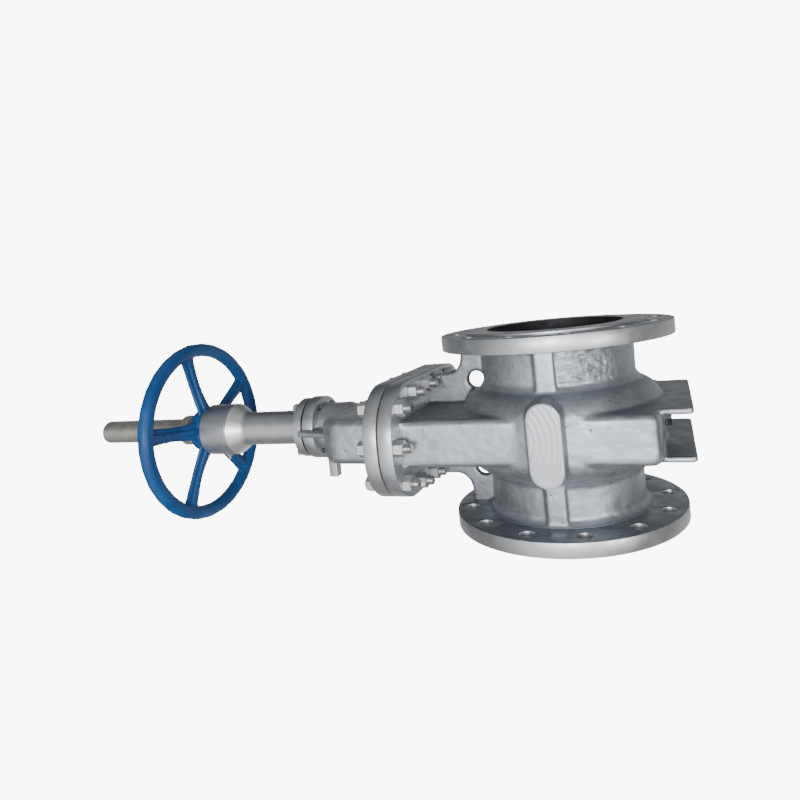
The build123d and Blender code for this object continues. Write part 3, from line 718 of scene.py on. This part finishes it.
def body_weight(co):
    """How freely the body rounds off: dressed pads, thin feet and the bore hold still."""
    x, y, z = co.T
    radius = np.hypot(x, y)
    in_necks = np.abs(z - MID_Z) < FLANGE_BACK + 8
    hold = -BORE_R - BORE_SKIN
    weight = np.full(len(co), 0.6)
    on_pad = step(np.abs(y), PAD_FACE_Y - 3, PAD_FACE_Y - 1) * (np.abs(x) < PAD_HALF_X)
    weight *= 1 - 0.75 * on_pad
    weight *= 1 - 0.85 * step(x, FOOT_X, FOOT_X + 6)
    weight *= 1 - step(-radius, hold, hold + 4) * in_necks
    return weight


def rough_patch(co):
    """The coarse skin left on the front of the upper neck, beside its rib."""
    x, y, z = co.T
    from_rib, to_side, front = step(x, 14, 22), step(-x, -112, -60), step(-y, 20, 40)
    over_housing, under_flange = step(z, 214, 222), step(-z, -266, -258)
    return from_rib * to_side * front * over_housing * under_flange


cast_skin(
    body_mesh,
    3,
    body_weight,
    [(0.55, 0.022), (0.30, 0.09)],
    [(1.5, (0.14, 0.14, 0.28), rough_patch), (0.9, (0.3, 0.3, 0.5), rough_patch)],
)


def body_faces(centres, normals):
    """The pads are dressed, and the bore is painted dark as shade."""
    x, y, _ = centres.T
    towards_axis = normals[:, 0] * x + normals[:, 1] * y < 0
    index = np.zeros(len(centres))
    index[(np.abs(y) > PAD_FACE_Y - 1.3) & (np.abs(normals[:, 1]) > 0.9)] = 1
    index[(np.hypot(x, y) < BORE_R + BORE_SKIN + 0.5) & towards_axis] = 2
    return index


material_by(body_mesh, ("cast", "pad", "bore"), body_faces)
keep("body_casting", body_mesh, None, "valve", ["body"])

# Flanges: turned plates with drilled holes, and the raised face on each
HOLE_R = 11.0
HOLE_CIRCLE_R = 295 / 2
HOLE_ANGLES = [math.radians(15 + 30 * k) for k in range(12)]
HOLES = [(HOLE_CIRCLE_R * math.cos(a), HOLE_CIRCLE_R * math.sin(a)) for a in HOLE_ANGLES]


# Faces inside the bore take the near-black material, as painted shade.
def in_bore(centres, normals):
    return np.hypot(centres[:, 0], centres[:, 1]) < BORE_R + 0.9


for name, up in (("upper", 1), ("lower", -1)):
    outlines = [circle(FLANGE_R, points=192), circle(BORE_R, points=128)]
    outlines += [circle(HOLE_R, hole, 32) for hole in HOLES]
    middle = flat_at(MID_Z + up * (FLANGE_BACK + FLANGE_T / 2))
    mesh = plate(outlines, FLANGE_T, 0.8, middle)
    material_by(mesh, ("machined_paint", "bore"), in_bore)
    keep(f"{name}_flange", mesh, None, "valve", [])
    face = MID_Z + up * HALF_H
    buried = MID_Z + up * (HALF_H - 8)
    raised = [
        (buried, BORE_R + 0.02),
        (face - up * 0.6, BORE_R + 0.02),
        (face, BORE_R + 0.7),
        (face, RAISED_R - 0.5),
        (face - up * 0.5, RAISED_R),
        (buried, RAISED_R),
    ]
    mesh = finished_mesh(turned(raised, along_flow, 160))
    material_by(mesh, ("machined_paint", "bore"), in_bore)
    keep(f"{name}_raised_face", mesh, None, "valve", [])

# ---------------------------------------------------------------- joint flanges, studs, nuts
JOINT_HALF_Y = 174
JOINT_HALF_Z = 84
JOINT_CORNER_R = 75
STUD_R = 7.0
STUD_HOLE_R = 8.0
STUDS = [(158, 0), (-158, 0)] + [
    (side * y, up * z)
    for y, z in ((27, 70), (84, 67), (142, 54))
    for side in (1, -1)
    for up in (1, -1)
]


def round_rectangle(half_u, half_v, radius, steps=16):
    points = []
    for k, (su, sv) in enumerate(((1, 1), (-1, 1), (-1, -1), (1, -1))):
        for s in range(steps + 1):
            angle = math.pi / 2 * (k + s / steps)
            u = su * (half_u - radius) + radius * math.cos(angle)
            points.append((u, sv * (half_v - radius) + radius * math.sin(angle)))
    return points


for name, middle, opening_y in (
    ("body_joint_flange", JOINT_X + JOINT_T / 2, 126),
    ("bonnet_joint_flange", BONNET_X - JOINT_T / 2, 112),
):
    outlines = [round_rectangle(JOINT_HALF_Y, JOINT_HALF_Z, JOINT_CORNER_R)]
    outlines += [round_rectangle(opening_y, 22, 4, 4)]
    outlines += [circle(STUD_HOLE_R, spot, 24) for spot in STUDS]
    mesh = plate(outlines, JOINT_T, 0.9, across_at(middle))
    keep(name, mesh, "machined_paint", "valve", [])


def hexagon(bm, x, direction, thickness, across_flats, bore, spot, turn, steps=8):
    """A hexagon nut or bolt head standing on x, with both ends chamfered at 30 degrees."""
    place = along_x(spot)
    apothem = across_flats / 2
    washer = apothem * 0.96
    rows = [[] for _ in range(6)]
    for angle in turns(6 * steps):
        off_flat = (angle + math.pi / 6) % (math.pi / 3) - math.pi / 6
        side = apothem / math.cos(off_flat)
        drop = max(0.0, side - washer) * math.tan(math.radians(30))
        low = [(bore, 0.0), (washer, 0.0), (side, drop * 0.6)]
        high = [(side, thickness - drop), (washer, thickness), (bore, thickness)]
        for row, (radius, height) in zip(rows, low + high):
            row.append(bm.verts.new(place(x + direction * height, radius, angle + turn)))
    bridge(bm, rows, closed=True)


def threaded_rod(bm, x_from, x_to, radius, spot, pitch=2.0, depth=0.75):
    """A rod along X with thread rings all along and chamfered tips."""
    chamfer, lead = 1.2, 1.6
    profile = [(x_from, radius - 1.6), (x_from + chamfer, radius - 0.3)]
    x = x_from + lead
    while x < x_to - lead:
        profile += [(x, radius), (x + pitch / 2, radius - depth)]
        x += pitch
    profile += [(x_to - chamfer, radius - 0.3), (x_to, radius - 1.6)]
    lathe(bm, profile, along_x(spot), 24, closed=False)


random.seed(7)
NUT_T = 13.0
NUT_FLATS = 21.0
for name, x, direction in (
    ("bonnet_nuts_body_side", BODY_BACK_X, 1),
    ("bonnet_nuts_bonnet_side", BONNET_BACK_X, -1),
):
    bm = bmesh.new()
    for spot in STUDS:
        turn = math.radians(random.uniform(-8, 8))
        hexagon(bm, x, direction, NUT_T, NUT_FLATS, STUD_R, spot, turn)
    keep(f"{name}_chamfered", bm, "painted_nut", "valve", [name])
bm = bmesh.new()
left = reach("bonnet_studs", "X", "low")
right = reach("bonnet_studs", "X", "high")
shank = [(left + 7, STUD_R - 0.1), (right - 11, STUD_R - 0.1)]
for spot in STUDS:
    threaded_rod(bm, left, left + 8, STUD_R, spot)
    threaded_rod(bm, right - 12, right, STUD_R, spot)
    lathe(bm, shank, along_x(spot), 24, closed=False)
keep("bonnet_studs_threaded", bm, "zinc", "valve", ["bonnet_studs"])

# ---------------------------------------------------------------- bonnet
GLAND_GAP = 3.5
COLUMN_X = reach("column", "X", "high")
TOP_X = COLUMN_X + GLAND_GAP
TOP_R = 52.5
TOP_T = 20.0
TOP_BORE_R = 24
NECK_BORE_R = 24
BOLT_R = 5.0
BOLT_HOLE_R = 5.4
BOLT_SPOTS = [(side * 20.5, up * 35.5) for side in (1, -1) for up in (1, -1)]

bm = from_cad("bonnet", [((BONNET_BACK_X - CUT_GAP, 0, 0), (1, 0, 0))])
lap = (BONNET_BACK_X - STUB, BONNET_BACK_X + PLATE_LAP)
for up in (1, -1):
    wall_stubs(bm, lap, up, inner_y=113, outer_y=121.5, outer_z=32.5)
bonnet_mesh = remeshed(bm, 1.6)

# The cast core of the round flange draws in, to stay under the turned one
co = positions(bonnet_mesh)
near_stem = np.hypot(co[:, 1], co[:, 2] - MID_Z) < TOP_R + 0.8
core = (co[:, 0] < TOP_X + TOP_T + 1.5) & near_stem
top_middle = np.array((TOP_X + TOP_T / 2, 0, MID_Z))
co[core] = top_middle + (co[core] - top_middle) * np.array((0.88, 0.975, 0.975))
set_positions(bonnet_mesh, co)


def bonnet_weight(co):
    """How freely the bonnet rounds off: its round flange and its bore hold still."""
    x, y, z = co.T
    radius = np.hypot(y, z - MID_Z)
    flange_edge = -TOP_X - TOP_T
    weight = np.full(len(co), 0.6)
    weight *= 1 - step(-x, flange_edge - 4, flange_edge - 1) * (radius < TOP_R + 3.5)
    weight *= 1 - step(-radius, -NECK_BORE_R - 3, -NECK_BORE_R)
    return weight


cast_skin(bonnet_mesh, 6, bonnet_weight, [(0.5, 0.025), (0.3, 0.1)])
keep("bonnet_casting", bonnet_mesh, "bonnet", "valve", ["bonnet"])


# Faces towards the column take the near-black material, as painted shade in the gap.
def faces_column(centres, normals):
    return centres[:, 0] < TOP_X + 0.3


outlines = [circle(TOP_R, points=128), circle(TOP_BORE_R, points=64)]
outlines += [circle(BOLT_HOLE_R, spot, 28) for spot in BOLT_SPOTS]
mesh = plate(outlines, TOP_T, 0.8, across_at(TOP_X + TOP_T / 2))
material_by(mesh, ("machined_paint", "bore"), faces_column)
keep("bonnet_round_flange", mesh, None, "valve", [])

# ---------------------------------------------------------------- column and bearing housing
COLUMN_FLANGE_R = 50
COLUMN_FLANGE_T = 16
COLUMN_R = 29
COLUMN_BORE_R = 24
COLUMN_BACK_X = COLUMN_X - COLUMN_FLANGE_T
CONE_X = -556
HOUSING_R = 45
HOUSING_BORE_R = 41
RETAINER_R = 40.05
SEAM_X = reach("bearing_housing", "X", "high")
HOUSING_X = reach("bearing_housing", "X", "low")

column = rounded(
    [
        (COLUMN_X, COLUMN_BORE_R),
        (COLUMN_X, COLUMN_FLANGE_R),
        (COLUMN_BACK_X, COLUMN_FLANGE_R),
        (COLUMN_BACK_X, COLUMN_R + 4),
        (COLUMN_BACK_X - 5, COLUMN_R),
        (CONE_X, COLUMN_R),
        (SEAM_X + 0.6, HOUSING_R - 0.2),
        (SEAM_X + 0.4, HOUSING_BORE_R),
        (CONE_X - 4, COLUMN_R - 3),
        (COLUMN_BACK_X, COLUMN_BORE_R),
    ],
    [0.6, 1.2, 1.2, 3, 3, 5, 0.8, 0.3, 0.3, 0.3],
)
mesh = finished_mesh(turned(column, segments=128))


def column_faces(centres, normals):
    """The cone is paler, and the gap at the bonnet is painted dark as shade."""
    index = np.zeros(len(centres))
    index[(centres[:, 0] < CONE_X - 2) & (normals[:, 0] > -0.9)] = 1
    index[centres[:, 0] > COLUMN_X - 0.5] = 2
    return index


material_by(mesh, ("machined_paint", "cone", "bore"), column_faces)
keep("column_tube", mesh, None, "valve", ["column"])
housing = rounded(
    [
        (SEAM_X - 0.3, HOUSING_BORE_R),
        (SEAM_X - 0.3, HOUSING_R),
        (HOUSING_X, HOUSING_R),
        (HOUSING_X, RETAINER_R),
        (HOUSING_X + 10, RETAINER_R),
        (HOUSING_X + 10, HOUSING_BORE_R),
    ],
    [0.3, 0.9, 2.4, 0.5, 0.2, 0.2],
)
bm = turned(housing, segments=128)
keep("bearing_housing_shell", bm, "machined_paint", "valve", ["bearing_housing"])

BOLT_HEAD_T = 8
BOLT_FLATS = 16
bm = bmesh.new()
for spot in BOLT_SPOTS:
    turn = random.uniform(0, math.pi / 3)
    hexagon(bm, COLUMN_BACK_X, -1, BOLT_HEAD_T, BOLT_FLATS, 0.6, spot, turn)
    threaded_rod(bm, COLUMN_BACK_X - 4, TOP_X + TOP_T - 2, BOLT_R, spot, 1.5, 0.6)
keep("column_bolts_chamfered", bm, "zinc", "valve", ["column_bolts"])

# ---------------------------------------------------------------- vent plug
VENT_X = (reach("vent_plug", "X", "low") + reach("vent_plug", "X", "high")) / 2
VENT_THREAD_R = 6.0
VENT_HALF = 8.0
VENT_CORNER_R = 1.6
# Depths below the stem: the thread's two ends, then the square's top, bevel and bottom
VENT_THREAD = (33, 53.5)
VENT_SQUARE = (53.05, 84.8, 86)
VENT_BEVEL = 1.3


def down_from_neck(depth, r, angle):
    return Vector((VENT_X + r * math.cos(angle), r * math.sin(angle), MID_Z - depth))


bm = turned([(z, VENT_THREAD_R) for z in VENT_THREAD], down_from_neck, 40, closed=False)
outline = round_rectangle(VENT_HALF, VENT_HALF, VENT_CORNER_R, 3)
rings = []
for depth, inset in zip(VENT_SQUARE, (0.0, 0.0, VENT_BEVEL)):
    k = (VENT_HALF - inset) / VENT_HALF
    rings.append([bm.verts.new((VENT_X + u * k, v * k, MID_Z - depth)) for u, v in outline])
bridge(bm, rings, closed=False)
keep("vent_plug_square", bm, "zinc", "valve", ["vent_plug"])

# ---------------------------------------------------------------- handwheel
RIM_HALF_T = 12.5
RIM_R = 147.5
WHEEL_X = reach("handwheel", "X", "low") + RIM_HALF_T
HUB_X = reach("handwheel", "X", "high")
HUB_END_X = -663.0
HUB_R = 38
HUB_BORE_R = 22.1
SCALLOPS = 30
SCALLOP_DEPTH = 0.35
SPOKES = 5
SPOKE_ANGLE = math.radians(28.7)
SPOKE_INNER_R = 30
SPOKE_HUB_X = -643.5
SPOKE_STATIONS = 16
# The corners of a spoke's section, across it and along X, with the ridge on the +X side
SPOKE_SECTION = [
    (13.5, 0.0),
    (10.0, -4.8),
    (0.0, -6.6),
    (-10.0, -4.8),
    (-13.5, 0.0),
    (-10.5, 3.4),
    (-4.6, 3.9),
    (-3.2, 7.6),
    (3.2, 7.6),
    (4.6, 3.9),
    (10.5, 3.4),
]


def scalloped(x, r, angle):
    """A place round the stem, with shallow finger scallops on the rim's outer edge."""
    outward = max(0.0, (r - RIM_R) / RIM_HALF_T)
    return along_stem(x, r + SCALLOP_DEPTH * math.cos(SCALLOPS * angle) * outward, angle)


bm = bmesh.new()
rim = [(WHEEL_X + 12.2 * math.sin(a), RIM_R - 0.4 + 12.0 * math.cos(a)) for a in turns(28)]
lathe(bm, rim, scalloped, 240)
hub = rounded(
    [
        (HUB_X, HUB_BORE_R),
        (HUB_X, HUB_R - 2),
        (HUB_X - 4, HUB_R),
        (HUB_END_X + 4, HUB_R),
        (HUB_END_X, HUB_R - 4),
        (HUB_END_X, HUB_BORE_R),
    ],
    [0.3, 1, 2, 2, 1, 0.3],
    3,
)
lathe(bm, hub)
for turn in turns(SPOKES):
    angle = SPOKE_ANGLE + turn
    tangent = Vector((0, -math.sin(angle), math.cos(angle)))
    rings = []
    for station in range(SPOKE_STATIONS + 1):
        t = station / SPOKE_STATIONS
        dip = SPOKE_HUB_X - (SPOKE_HUB_X - WHEEL_X) * (1 - (1 - t) ** 3)
        width = 0.98 + 0.4 * (2 * t - 1) ** 2
        centre = along_stem(dip, SPOKE_INNER_R + t * (RIM_R - SPOKE_INNER_R), angle)
        corners = [tangent * (u * width) + Vector((v, 0, 0)) for u, v in SPOKE_SECTION]
        rings.append([bm.verts.new(centre + corner) for corner in corners])
    bridge(bm, rings, closed=False)
wheel_mesh = remeshed(bm, 1.3)


def wheel_weight(co):
    """How freely the wheel rounds off: its bore holds still."""
    radius = np.hypot(co[:, 1], co[:, 2] - MID_Z)
    return 0.55 * step(radius, 24, 27)


cast_skin(wheel_mesh, 5, wheel_weight, [(0.35, 0.04), (0.16, 0.2)])
keep("handwheel_cast", wheel_mesh, "wheel", "handwheel", ["handwheel"])

LOCK_NUT_T = 10.8
LOCK_NUT_FLATS = 52
LOCK_NUT_TURN = math.radians(12)
bm = bmesh.new()
lock = (LOCK_NUT_T, LOCK_NUT_FLATS, HUB_BORE_R, (0, 0), LOCK_NUT_TURN, 10)
hexagon(bm, HUB_END_X - 0.1, -1, *lock)
keep("lock_nut_chamfered", bm, "zinc", "handwheel", ["lock_nut"])

# ---------------------------------------------------------------- stem cover
COVER_X = reach("stem_cover", "X", "high")
COVER_END_X = reach("stem_cover", "X", "low")
COVER_R = 21
COVER_BORE_R = 17.5
COLLAR_X = -693.5
COLLAR_R = 27
COLLAR_BORE_R = 22.1
cover = rounded(
    [
        (COVER_X, COLLAR_BORE_R),
        (COVER_X, COLLAR_R),
        (COLLAR_X, COLLAR_R),
        (COLLAR_X - 0.4, COVER_R),
        (COVER_END_X, COVER_R),
        (COVER_END_X, COVER_BORE_R),
        (COLLAR_X, COVER_BORE_R),
        (COLLAR_X + 2.9, COVER_BORE_R),
        (COLLAR_X + 3.4, COLLAR_BORE_R),
    ],
    [0.4, 1.2, 2.5, 0.6, 0.4, 0.3, 0.3, 0.3, 0.3],
)
keep("stem_cover_tube", turned(cover), "tube", "handwheel", ["stem_cover"])
CAP_X = COVER_END_X - 0.1
cap = [(COVER_END_X + 7, COVER_BORE_R - 0.1), (CAP_X, COVER_BORE_R - 0.1), (CAP_X, COVER_R - 0.1)]
cap += [
    (CAP_X - 3.8 * math.sin(a), 16.6 + 4.3 * math.cos(a))
    for a in (math.radians(degrees) for degrees in range(10, 91, 10))
]
bm = turned(cap, closed=False)
keep("stem_cover_end_cap", bm, "tube", "handwheel", ["stem_cover_cap"])

# ---------------------------------------------------------------- floor and backdrop
SET_GLOW = 9.0
FLOOR_HALF = 30
BACKDROP_R = 14
FLOOR_GAP = 0.0004
# The valve leans on the right edge of its lower raised face and on the wheel's lowest point
FLOOR_HIGH = Vector((RAISED_R * MM, 0, 0))
FLOOR_LOW = Vector((WHEEL_X * MM, 0, (MID_Z - RIM_R - RIM_HALF_T) * MM))


def set_piece(name, bm, shade, matrix):
    """A part of the studio, which is seen but lights nothing: the lamps and the world do."""
    shade.bsdf.inputs["Emission Color"].default_value = (1, 1, 1, 1)
    shade.bsdf.inputs["Emission Strength"].default_value = SET_GLOW
    mesh = bpy.data.meshes.new(name)
    bm.to_mesh(mesh)
    bm.free()
    mesh.materials.append(shade.mat)
    obj = bpy.data.objects.new(name, mesh)
    obj.matrix_world = matrix
    bpy.context.scene.collection.objects.link(obj)
    obj.visible_diffuse = obj.visible_glossy = obj.visible_shadow = False


bm = bmesh.new()
bmesh.ops.create_grid(bm, x_segments=4, y_segments=4, size=FLOOR_HALF)
slope = math.atan2(FLOOR_HIGH.z - FLOOR_LOW.z, FLOOR_HIGH.x - FLOOR_LOW.x)
under_edge = Matrix.Translation(FLOOR_HIGH - Vector((0, 0, FLOOR_GAP)))
floor_shade = Shader("pale_floor", (0.05, 0.05, 0.05), 0.9, specular=0.0)
floor_shade.bump(floor_shade.noise(60, 3), 0.1, 0.15)
set_piece("floor", bm, floor_shade, under_edge @ Matrix.Rotation(-slope, 4, "Y"))

# A pale backdrop all round, so that the floor has no visible end
bm = bmesh.new()
bmesh.ops.create_uvsphere(bm, u_segments=64, v_segments=32, radius=BACKDROP_R)
backdrop_shade = Shader("pale_backdrop", (0, 0, 0), 1.0, specular=0.0)
set_piece("backdrop", bm, backdrop_shade, Matrix())


# ---------------------------------------------------------------- lamps and world
def area_light(name, place, size, power, color):
    """A soft lamp, size metres wide and high, aimed at the middle of the valve."""
    light = bpy.data.lights.new(name, "AREA")
    light.shape = "RECTANGLE"
    light.size, light.size_y = size
    light.energy = power
    light.color = color
    obj = bpy.data.objects.new(name, light)
    obj.location = place
    aim = Vector((0, 0, 0.13)) - Vector(place)
    obj.rotation_euler = aim.to_track_quat("-Z", "Y").to_euler()
    obj.visible_camera = False
    bpy.context.scene.collection.objects.link(obj)


area_light("key", (0.2, -2.8, 0.3), (1.8, 0.8), 60, (0.99, 0.99, 1.0))
area_light("right", (2.1, -2.0, 0.0), (0.9, 0.7), 30, (1.0, 0.98, 0.94))

world = bpy.data.worlds.new("studio")
bpy.context.scene.world = world
world.use_nodes = True
tree = world.node_tree
background = tree.nodes["Background"]
coords = tree.nodes.new("ShaderNodeTexCoord")
separate = tree.nodes.new("ShaderNodeSeparateXYZ")
tree.links.new(coords.outputs["Generated"], separate.inputs["Vector"])


def sky_share(axis, low, high, at_low, at_high):
    """Brightness that goes from at_low to at_high as a direction's axis goes low to high."""
    share = tree.nodes.new("ShaderNodeMapRange")
    share.interpolation_type = "SMOOTHSTEP"
    limits = (low, high, at_low, at_high)
    for key, value in zip(("From Min", "From Max", "To Min", "To Max"), limits):
        share.inputs[key].default_value = value
    tree.links.new(separate.outputs[axis], share.inputs["Value"])
    return share.outputs["Result"]


def combined(operation, a, b):
    node = tree.nodes.new("ShaderNodeMath")
    node.operation = operation
    tree.links.new(a, node.inputs[0])
    tree.links.new(b, node.inputs[1])
    return node.outputs["Value"]


# Bright from the front, dim at the sides and high up, fair from behind and straight above
front = sky_share("Y", -0.95, -0.3, 1.05, 0.10)
behind = sky_share("Y", 0.25, 0.9, 0.0, 0.5)
high_up = sky_share("Z", 0.1, 0.7, 1.0, 0.30)
below = sky_share("Z", -0.7, -0.05, 1.7, 1.0)
straight_above = sky_share("Z", 0.6, 1.0, 0.0, 0.4)
heights = combined("MULTIPLY", high_up, below)
around = combined("MULTIPLY", combined("ADD", front, behind), heights)
tree.links.new(combined("ADD", around, straight_above), background.inputs["Color"])

# ---------------------------------------------------------------- camera
CAMERA_PLACE = (0.16123, -0.99486, 0.36247)
CAMERA_TURN = (87.208, 5.770, 19.636)
camera_data = bpy.data.cameras.new("camera")
camera_data.sensor_width = 36.0
camera_data.lens = 29.829
camera_data.shift_x = -0.0347
camera_data.shift_y = -0.0984
camera_data.clip_start = 0.01
camera = bpy.data.objects.new("camera", camera_data)
camera.location = CAMERA_PLACE
camera.rotation_euler = Euler([math.radians(a) for a in CAMERA_TURN], "XYZ")
bpy.context.scene.collection.objects.link(camera)
bpy.context.scene.camera = camera
